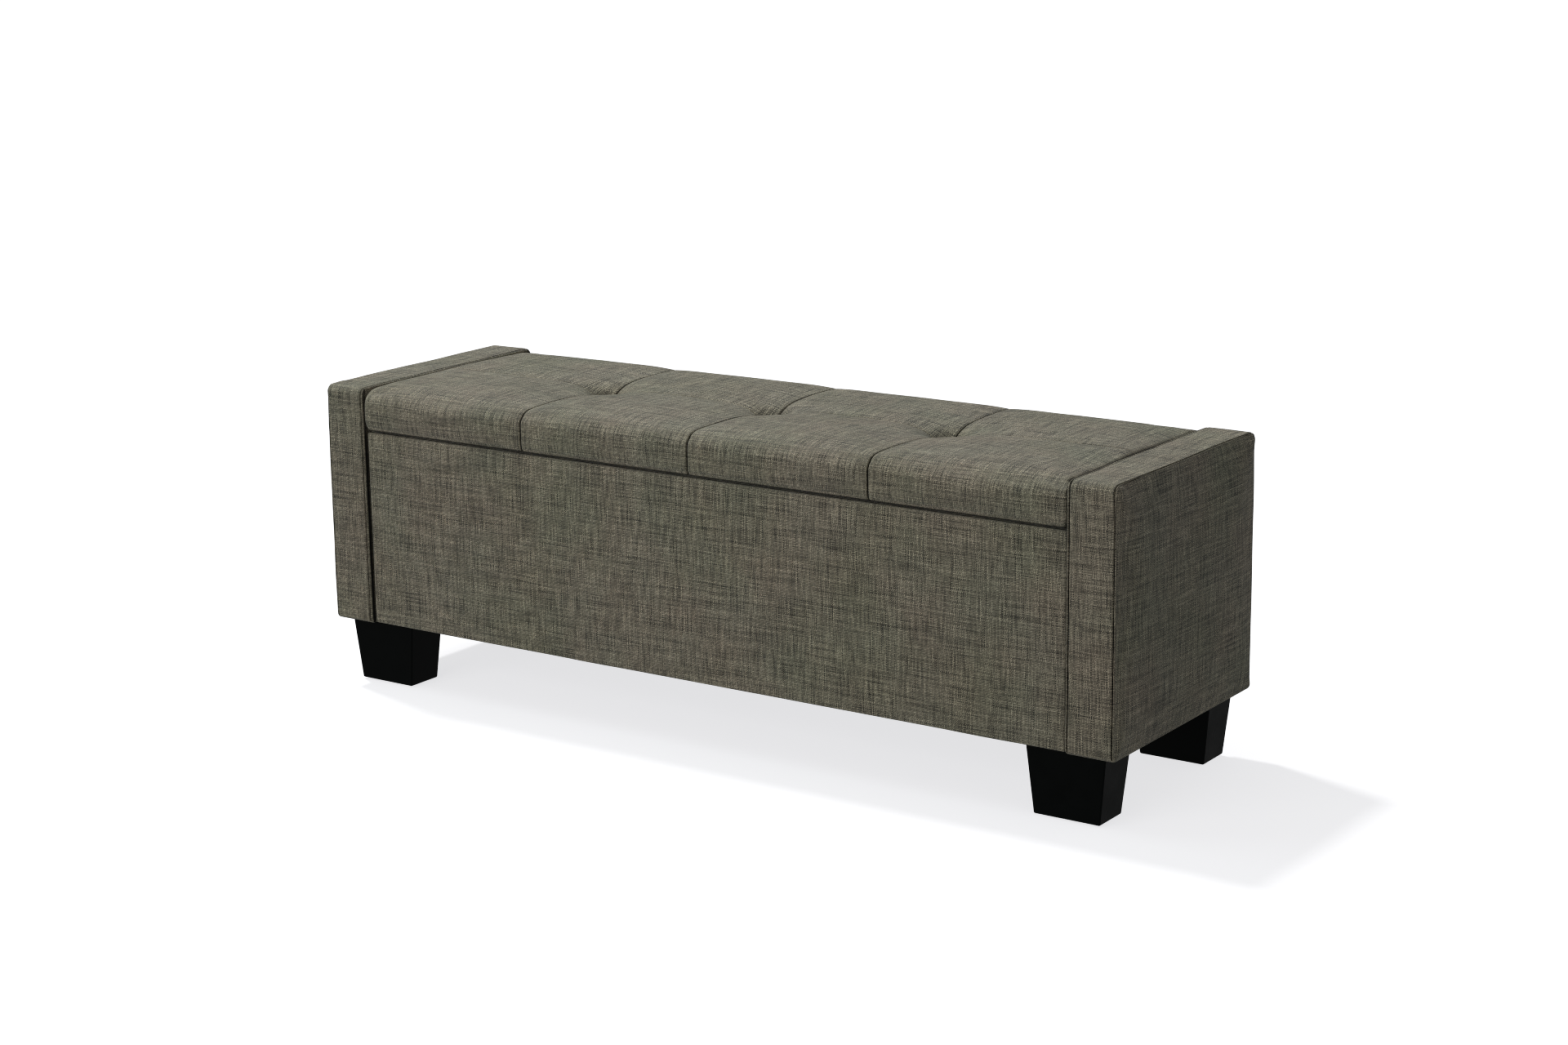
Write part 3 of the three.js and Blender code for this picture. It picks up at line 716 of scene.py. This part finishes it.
def lid_cushion():
    low, high = LID_LOW - LID_FULLNESS, LID_HIGH + LID_FULLNESS
    points, faces, sides = box_grid(lid_grid(low, high), hollow_bottom=0.03)
    cloth = cloth_places(points, faces, sides, low, high, turn_ends=True)
    piece = make_piece("lid_cushion_cover", lid_surface(points, low, high), faces, cloth)

    x, y, z = points.T
    on_top = z > high.z - SAME
    cross = from_cross_seam(x)
    from_tuft = np.where(on_top, np.hypot(cross, y - SEAM_Y), 1.0)
    on_seam = (cross < 0.001) | ((np.abs(y - SEAM_Y) < 0.001) & on_top)
    at_bottom = z <= low.z + 0.003
    at_end = np.abs(x) > high.x - 0.001
    inflate(piece, at_bottom | at_end | on_seam | (from_tuft < 0.008), pressure=1.5, cap=0.0045)
    sew_lid(piece, points, low, high, from_tuft)
    subdivide(piece)
    finish_piece(piece, "lid", "taupe_linen")
    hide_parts("lid_cover")


def lid_pad():
    """The foam inside the lid. It keeps clear of the cover all round."""
    low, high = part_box("lid_foam")
    low, high = low + PAD_CLEARANCE, high - PAD_CLEARANCE
    edge = (0.0, 0.005, 0.012, 0.022)
    seam = (0.0, 0.004, 0.010, 0.018, 0.030)
    xs = grid_lines(low.x, high.x, 0.04, both_ends(low.x, high.x, edge) + both_sides(SEAM_PLACES, seam))
    ys = grid_lines(low.y, high.y, 0.04, both_ends(low.y, high.y, edge) + both_sides([SEAM_Y], seam))
    zs = grid_lines(low.z, high.z, 0.015)
    points, faces, _ = box_grid((xs, ys, zs))
    piece = subdivide(make_piece("lid_foam_pad", lid_surface(points, low, high), faces))
    finish_piece(piece, "lid", "cushion_foam")
    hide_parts("lid_foam")


# ------------------------------------------------------------------ end panels


def slab_surface(points, low, high, sign):
    """A box cushion's shape: an outline with round corners, and tight edges round both sides.

    Also each point's distance in from the outline, from the nearer side, and that side's way."""
    low, high = np.array(low), np.array(high)
    x, y, z = points.T
    up = smooth_step((z - low[2]) / (high[2] - low[2]))
    corner = SLAB_FOOT_CORNER + (SLAB_CORNER - SLAB_FOOT_CORNER) * up

    # Round the outline, seen from the side.
    radius = np.stack([np.full(len(points), FAR), corner, corner], axis=1)
    wide_low, wide_high = low.copy(), high.copy()
    wide_low[0], wide_high[0] = -2 * FAR, 2 * FAR
    out = rounded(points, wide_low, wide_high, radius)
    out[:, 0] = x

    # Distance in from the outline, and the direction out to it.
    centre_y = np.clip(y, low[1] + corner, high[1] - corner)
    centre_z = np.clip(z, low[2] + corner, high[2] - corner)
    away = np.stack([y - centre_y, z - centre_z], axis=1) / corner[:, None]
    biggest = np.abs(away).max(axis=1)
    inward = corner * (1 - biggest)
    length = np.maximum(np.linalg.norm(away, axis=1), 1e-9)
    direction = away / length[:, None]

    # Round the edges between the sides and the boxing strip.
    side = np.minimum(x - low[0], high[0] - x)
    way = np.where(x - low[0] < high[0] - x, -1.0, 1.0)
    edge = np.where(way == sign, SLAB_OUTER_EDGE, SLAB_EDGE)
    to_side = np.clip(1 - side / edge, 0, 1)
    to_outline = np.clip(1 - inward / edge, 0, 1)
    both = np.maximum(to_side, to_outline) / np.maximum(np.hypot(to_side, to_outline), 1e-9)
    outline_shift = edge * (to_outline * both - to_outline)
    out[:, 0] += way * edge * (to_side * both - to_side)
    out[:, 1] += direction[:, 0] * outline_shift
    out[:, 2] += direction[:, 1] * outline_shift
    return out, inward, side, way


def slot_shade(points, low, high):
    """Painted shade in the slots beside the front and back panels, and a little beside the lid."""
    _, y, z = points.T
    from_top = high.z - z
    in_slot = band(np.minimum(y - low.y, high.y - y), rise=0.0022, fall=0.0065)
    in_slot *= np.where(from_top > SLOT_BOTTOM, SLOT_SHADE, SLOT_SHADE_BY_LID)
    return np.maximum(in_slot, LID_GAP_SHADE * band(from_top, rise=0.0022, fall=0.004))


def end_panel(side_name, sign):
    low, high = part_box(f"{side_name}_end_cover")
    edge = (0.0, 0.0009, 0.002, 0.0035, 0.006, 0.010)
    outline = (0.0, 0.0009, 0.002, 0.0035, 0.006, 0.009, 0.012, 0.020)
    inner_x, outer_x = (low.x, high.x) if sign > 0 else (high.x, low.x)
    seams_x = (inner_x + sign * INNER_SEAM_INSET, outer_x - sign * OUTER_SEAM_INSET)
    xs = grid_lines(low.x, high.x, 0.012, both_ends(low.x, high.x, edge)
                    + both_sides(seams_x, (0.0, 0.0008, 0.0017)))
    ys = grid_lines(low.y, high.y, 0.013, both_ends(low.y, high.y, outline))
    zs = grid_lines(low.z, high.z, 0.013, both_ends(low.z, high.z, outline))
    points, faces, sides = box_grid((xs, ys, zs))
    cloth = cloth_places(points, faces, sides, low, high)
    shape, inward, side, way = slab_surface(points, low, high, sign)
    x, y, z = points.T

    # The outer side's pad stops short of the seams, so the side crowns between them.
    outer = way == sign
    on_side = side < SAME
    shape[:, 0] += sign * SLAB_BULGE * smooth_step(inward / SLAB_BULGE_REACH) * on_side * outer
    piece = make_piece(f"{side_name}_end_panel_cover", shape, faces, cloth)

    on_outline = inward < SAME
    to_seam = np.min([np.abs(x - place) for place in seams_x], axis=0)
    at_seam = on_outline & (to_seam < 0.001)
    facing_bin = on_side & ~outer
    under = z < low.z + SAME
    cap = np.where(z > high.z - 0.004, 0.0045, 0.0018) + 0.0020 * (on_side & outer)
    inflate(piece, at_seam | facing_bin | under, pressure=0.8, cap=cap)

    # The cloth is a little slack, and the outer seam wanders along the top.
    loose = slack(points, size=0.12, amount=0.00035, seed=21 + sign) * ~under
    along_top = smooth_step((z - high.z + 0.05) / 0.04) * outer * np.exp(-(side + inward) / 0.010)
    push_out(piece, loose)
    moved = get_points(piece)
    moved[:, 0] -= sign * WANDER * np.sin(y * WANDER_WAVES + 0.4) ** 2 * along_top
    set_points(piece, moved)

    # The boxing strip is sewn to both sides, just in from its edges.
    sewn = bell(to_seam, BOXING_HALF_WIDTH) * on_outline * ~under
    # Shade is painted along the seams, and in the slots beside the front and back panels and the lid.
    sew(piece, sewn, BOXING_GROOVE, facing_bin * slot_shade(points, low, high))
    subdivide(piece)
    finish_piece(piece, "base", "taupe_linen")
    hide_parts(f"{side_name}_end_cover")


# ------------------------------------------------------------------ front and back panels


def wall_panel(name, node, sign):
    """The padded front or back panel. sign is the way that it faces along Y."""
    low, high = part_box(node)
    end_gap = Vector((PANEL_END_GAP, 0, 0))
    low, high = low + end_gap, high - end_gap
    (low if sign < 0 else high).y += sign * PANEL_FULLNESS
    edge = (0.0, 0.0012, 0.003, 0.005, 0.0075, 0.012)
    xs = grid_lines(low.x, high.x, 0.016, both_ends(low.x, high.x, edge))
    ys = grid_lines(low.y, high.y, 0.006, both_ends(low.y, high.y, edge[:5]))
    zs = grid_lines(low.z, high.z, 0.013, both_ends(low.z, high.z, edge))
    points, faces, sides = box_grid((xs, ys, zs))
    cloth = cloth_places(points, faces, sides, low, high)
    radius = np.tile(PANEL_RADIUS, (len(points), 1))
    piece = make_piece(name, rounded(points, low, high, radius), faces, cloth)
    _, y, z = points.T
    inside = np.abs(y - (low.y if sign < 0 else high.y))
    on_face = inside < SAME
    held = ~on_face | (z < low.z + 0.004) | (z > high.z - 0.004)
    inflate(piece, held, pressure=0.3, cap=0.0012)
    push_out(piece, slack(points, size=0.14, amount=0.0004, seed=31 + sign) * on_face)
    # Shade is painted on the panel's top, in the gap under the lid.
    on_top = z > high.z - SAME
    painted_shade = PANEL_TOP_SHADE * on_top * band(inside, rise=0.0025, fall=0.004, delay=0.9)
    sew(piece, np.zeros(len(points)), 0.0, painted_shade)
    subdivide(piece)
    finish_piece(piece, "base", "taupe_linen")
    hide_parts(node)


# ------------------------------------------------------------------ sheets of cloth


def thicken(piece, thickness):
    solid = piece.modifiers.new("cloth thickness", "SOLIDIFY")
    solid.thickness = thickness
    solid.offset = -1.0
    return piece


def flat_sheet(name, node, body, sag):
    """A stretched sheet of lining cloth that sags a little between its edges."""
    low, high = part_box(node)
    xs = grid_lines(low.x, high.x, 0.03)
    ys = grid_lines(low.y, high.y, 0.02)
    points = np.array([(x, y, high.z) for x in xs for y in ys])
    rows = len(ys)
    faces = []
    for i in range(len(xs) - 1):
        for j in range(rows - 1):
            a = i * rows + j
            faces.append([a, a + rows, a + rows + 1, a + 1])
    length, width, thickness = high - low
    inside = (1 - (points[:, 0] / (length / 2)) ** 10) * (1 - (points[:, 1] / (width / 2)) ** 10)
    points[:, 2] -= inside * (sag + np.abs(slack(points, size=0.18, amount=sag / 2, seed=5)))
    piece = thicken(make_piece(name, points, faces), thickness)
    finish_piece(piece, body, "black_cloth")
    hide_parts(node)


def bin_lining():
    """The tub of cloth inside the bin: a floor and four walls, with soft folds along the edges."""
    low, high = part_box("storage_lining")
    edge = (0.0, 0.004, 0.010, 0.018)
    xs = grid_lines(low.x, high.x, 0.03, both_ends(low.x, high.x, edge))
    ys = grid_lines(low.y, high.y, 0.03, both_ends(low.y, high.y, edge))
    zs = grid_lines(low.z, high.z, 0.03, [low.z + o for o in edge])
    points, faces, _ = box_grid((xs, ys, zs), skip=("top",))
    tall = np.array([high.x, high.y, high.z + 1.0])
    shape = rounded(points, low, tall, np.full((len(points), 3), LINING_CORNER))
    facing_in = [loop[::-1] for loop in faces]
    piece = make_piece("bin_lining", shape, facing_in)
    push_out(piece, 0.0004 + np.abs(slack(points, size=0.09, amount=0.0007, seed=8)))
    thicken(piece, LINING_THICKNESS)
    finish_piece(piece, "base", "black_cloth")
    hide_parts("storage_lining")


# ------------------------------------------------------------------ feet


def foot_block(face, side):
    """A block that narrows downwards, with eased edges. Its size comes from the CAD foot."""
    node = f"{face}_{side}_foot"
    low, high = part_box(node)
    mesh = frame["nodes"][node].data
    foot = [v.co for v in mesh.vertices if v.co.z < low.z + 1e-4]
    half_low = Vector((max(p.x for p in foot) - min(p.x for p in foot),
                       max(p.y for p in foot) - min(p.y for p in foot))) / 2
    centre = (low + high) / 2
    half_high = Vector((high.x - low.x, high.y - low.y)) / 2
    points = []
    for z, half in ((low.z, half_low), (high.z, half_high)):
        for sx, sy in ((-1, -1), (1, -1), (1, 1), (-1, 1)):
            points.append((centre.x + sx * half.x, centre.y + sy * half.y, z))
    faces = [[3, 2, 1, 0], [4, 5, 6, 7]]
    faces += [[i, (i + 1) % 4, (i + 1) % 4 + 4, i + 4] for i in range(4)]
    piece = make_piece(f"{face}_{side}_foot_block", points, faces)
    eased = piece.modifiers.new("eased edges", "BEVEL")
    eased.width = FOOT_EDGE
    eased.segments = 4
    eased.harden_normals = True
    finish_piece(piece, "base", "black_lacquer")
    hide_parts(node)


# ------------------------------------------------------------------ screws and staples


def screw_head(centre, facing):
    """A raised countersunk head with a cross recess: rings of points, from the middle outwards."""
    facing = Vector(facing)
    across = facing.orthogonal().normalized()
    up = facing.cross(across)
    segments = 40
    last_ring = len(SCREW_RINGS) - 1
    points = []
    for ring, share in enumerate(SCREW_RINGS):
        radius = SCREW_RADIUS * share
        for step in range(segments):
            turn = 2 * math.pi * step / segments
            a, b = radius * math.cos(turn), radius * math.sin(turn)
            in_recess = min(abs(a), abs(b)) < RECESS_HALF_WIDTH and radius < RECESS_REACH
            height = SCREW_CROWN * (1 - share ** 2) - RECESS * in_recess
            if ring == last_ring:
                height = -SCREW_SINK
            points.append(centre + across * a + up * b + facing * height)
    faces = []
    for ring in range(last_ring):
        inner, outer = ring * segments, (ring + 1) * segments
        for step in range(segments):
            following = (step + 1) % segments
            faces.append([inner + step, outer + step, outer + following, inner + following])
    faces.append([last_ring * segments + step for step in reversed(range(segments))])
    return points, faces


def merge(parts):
    """Joins (points, faces) pairs into one pair."""
    points, faces = [], []
    for more_points, more_faces in parts:
        start = len(points)
        points += more_points
        faces += [[start + corner for corner in loop] for loop in more_faces]
    return points, faces


def screws(name, body, centres, facing):
    points, faces = merge(screw_head(centre, facing) for centre in centres)
    piece = make_piece(name, points, faces)
    # A head's innermost ring is all at one place.
    piece.modifiers.new("joined points", "WELD").merge_threshold = SAME
    finish_piece(piece, body, "zinc_steel")


def hinge_screws(side, leaf, body, way):
    """Three screws through a hinge leaf. way is the way that its face looks along Z."""
    node = f"{side}_hinge_{leaf}_leaf"
    low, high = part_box(node)
    heights = [v.co.z for v in frame["nodes"][node].data.vertices if v.co.y < low.y + 0.001]
    z = max(heights) if way > 0 else min(heights)
    middle = (low.x + high.x) / 2
    centres = [Vector((middle + x, low.y + y, z)) for x, y in HINGE_SCREWS]
    screws(f"{side}_hinge_{leaf}_screws", body, centres, (0, 0, way))


def stay_screws(side, sign):
    """Two screws through each of a stay's brackets."""
    low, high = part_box(f"{side}_stay_lid_bracket")
    x = (high.x if sign < 0 else low.x) + sign * 0.010
    middle = (low.y + high.y) / 2
    centres = [Vector((x, middle + y, high.z - STAY_PLATE)) for y in (-0.012, 0.012)]
    screws(f"{side}_stay_lid_screws", "lid", centres, (0, 0, -1))

    low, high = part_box(f"{side}_stay_wall_bracket")
    face_x = low.x + STAY_PLATE if sign < 0 else high.x - STAY_PLATE
    centre = (low + high) / 2
    centres = [Vector((face_x, centre.y + o, centre.z + o)) for o in (-0.0105, 0.0105)]
    screws(f"{side}_stay_wall_screws", "base", centres, (-sign, 0, 0))


def staple(centre, along_x):
    """A staple's crown: a flat wire with turned-down ends."""
    long, wide, high = STAPLE / 2
    outline = ((-1.0, 0.2), (-0.9, -0.7), (-0.8, -1.0), (0.8, -1.0), (0.9, -0.7), (1.0, 0.2))
    points = []
    for way in (-1, 1):
        for a, c in outline:
            place = Vector((a * long, way * wide, 0)) if along_x else Vector((-way * wide, a * long, 0))
            points.append(centre + place + Vector((0, 0, c * high)))
    count = len(outline)
    faces = [[i, i + 1, i + 1 + count, i + count] for i in range(count - 1)]
    faces.append([count - 1, 0, count, 2 * count - 1])
    faces.append(list(reversed(range(count))))
    faces.append(list(range(count, 2 * count)))
    return points, faces


def staples(name, node, body, around):
    """Staples round the edge of a sheet, on its underside, clear of the hardware in around."""
    low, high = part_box(node)
    left, right = low.x + STAPLE_INSET, high.x - STAPLE_INSET
    front, back = low.y + STAPLE_INSET, high.y - STAPLE_INSET
    places = []
    for x in grid_lines(left, right, STAPLE_PITCH):
        places += [(x, front, True), (x, back, True)]
    for y in grid_lines(front, back, STAPLE_PITCH)[1:-1]:
        places += [(left, y, False), (right, y, False)]
    boxes = [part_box(hardware) for hardware in around]
    clear = STAPLE_CLEARANCE
    parts = []
    for x, y, along_x in places:
        if not any(a.x - clear < x < b.x + clear and a.y - clear < y < b.y + clear for a, b in boxes):
            parts.append(staple(Vector((x, y, low.z)), along_x))
    piece = make_piece(name, *merge(parts))
    finish_piece(piece, body, "zinc_steel")


# ------------------------------------------------------------------ stage


def see_through_from_below(g):
    clear = g.node("ShaderNodeBsdfTransparent")
    below = g.node("ShaderNodeNewGeometry").outputs["Backfacing"]
    sides = g.node("ShaderNodeMixShader", {0: below, 1: g.shader.outputs[0], 2: clear.outputs[0]})
    g.feed(g.tree.nodes["Material Output"].inputs["Surface"], sides.outputs[0])


def make_floor():
    mesh = bpy.data.meshes.new("floor")
    size = 9.0
    corners = [(-size, -size, 0), (size, -size, 0), (size, size, 0), (-size, size, 0)]
    mesh.from_pydata(corners, [], [[0, 1, 2, 3]])
    floor = bpy.data.objects.new("floor", mesh)
    SCENE.collection.objects.link(floor)
    g = Graph("white studio floor")
    mesh.materials.append(g.surface(
        Base_Color=rgb(0.52, 0.52, 0.52), Roughness=1.0, Specular_IOR_Level=0.0,
        Emission_Color=rgb(0.72, 0.72, 0.735), Emission_Strength=1.0,
    ))
    see_through_from_below(g)
    # The sweep is lit to white; it isn't a lamp of its own.
    floor.visible_diffuse = False
    floor.visible_glossy = False


def area_light(name, place, aim, size, power, colour=(1, 1, 1)):
    data = bpy.data.lights.new(name, "AREA")
    data.shape = "RECTANGLE"
    data.size, data.size_y = size
    data.energy = power
    data.color = colour
    light = bpy.data.objects.new(name, data)
    light.location = place
    light.rotation_euler = (Vector(aim) - Vector(place)).to_track_quat("-Z", "Y").to_euler()
    SCENE.collection.objects.link(light)


def make_lights():
    area_light("overhead softbox", place=(-1.1, -0.35, 2.5), aim=(0, 0, 0.3), size=(1.8, 1.5),
               power=12, colour=(0.93, 1.0, 1.04))
    area_light("front fill", place=(-0.5, -3.2, 1.3), aim=(0, 0, 0.3), size=(2.4, 1.6), power=26)
    sun = bpy.data.lights.new("shadow lamp", "SUN")
    sun.energy = 1.3
    sun.angle = math.radians(5)
    lamp = bpy.data.objects.new("shadow lamp", sun)
    lamp.rotation_euler = Vector((0.24, -0.075, -0.44)).to_track_quat("-Z", "Y").to_euler()
    SCENE.collection.objects.link(lamp)


def make_world():
    """A white surround for the camera, and a dim one to light the object."""
    world = bpy.data.worlds.new("studio")
    world.use_nodes = True
    tree = world.node_tree
    dim = tree.nodes["Background"]
    bright = tree.nodes.new("ShaderNodeBackground")
    for background, strength in ((dim, 0.2), (bright, 1.1)):
        background.inputs["Color"].default_value = rgb(1.0, 1.0, 1.0)
        background.inputs["Strength"].default_value = strength
    path = tree.nodes.new("ShaderNodeLightPath")
    choose = tree.nodes.new("ShaderNodeMixShader")
    tree.links.new(path.outputs["Is Camera Ray"], choose.inputs[0])
    tree.links.new(dim.outputs[0], choose.inputs[1])
    tree.links.new(bright.outputs[0], choose.inputs[2])
    tree.links.new(choose.outputs[0], tree.nodes["World Output"].inputs["Surface"])
    SCENE.world = world


def make_camera():
    """A long lens, a little above the seat, to the right of the front."""
    azimuth, elevation, roll = math.radians(34.66), math.radians(13.54), math.radians(-0.76)
    distance, lens = 3.994, 66.57
    aim_height, aside, above = 0.25, 0.0203, 0.0260
    back = Vector((math.sin(azimuth) * math.cos(elevation),
                   -math.cos(azimuth) * math.cos(elevation), math.sin(elevation)))
    level = (-back).cross(Vector((0, 0, 1))).normalized()
    upright = level.cross(-back)
    right = math.cos(roll) * level + math.sin(roll) * upright
    up = -math.sin(roll) * level + math.cos(roll) * upright
    data = bpy.data.cameras.new("camera")
    data.sensor_width = 36
    data.lens = lens
    camera = bpy.data.objects.new("camera", data)
    place = back * distance + right * aside + up * above + Vector((0, 0, aim_height))
    turn = Matrix((right, up, back)).transposed().to_4x4()
    camera.matrix_world = Matrix.Translation(place) @ turn
    SCENE.collection.objects.link(camera)
    SCENE.camera = camera


# ------------------------------------------------------------------ assembly

SCENE.view_settings.view_transform = "Standard"
SCENE.cycles.denoising_prefilter = "NONE"   # these two keep the weave sharp
SCENE.cycles.filter_width = 1.0
make_camera()
make_world()
make_lights()
make_floor()
paint_frame()
lid_cushion()
lid_pad()
wall_panel("front_panel_cover", "front_cover", -1)
wall_panel("back_panel_cover", "back_cover", 1)
for side, sign in SIDES:
    end_panel(side, sign)
    for face in FACES:
        foot_block(face, side)
bin_lining()
flat_sheet("base_underside_cloth", "base_dust_cover", "base", 0.0015)
flat_sheet("lid_underside_cloth", "lid_dust_cover", "lid", 0.0)

for side, sign in SIDES:
    hinge_screws(side, "base", "base", 1)
    hinge_screws(side, "lid", "lid", -1)
    stay_screws(side, sign)
LID_HARDWARE = [f"{side}_{part}" for side, _ in SIDES for part in ("hinge_lid_leaf", "stay_lid_bracket")]
FEET = [f"{face}_{side}_foot" for face in FACES for side, _ in SIDES]
staples("lid_cloth_staples", "lid_dust_cover", "lid", LID_HARDWARE)
staples("base_cloth_staples", "base_dust_cover", "base", FEET)
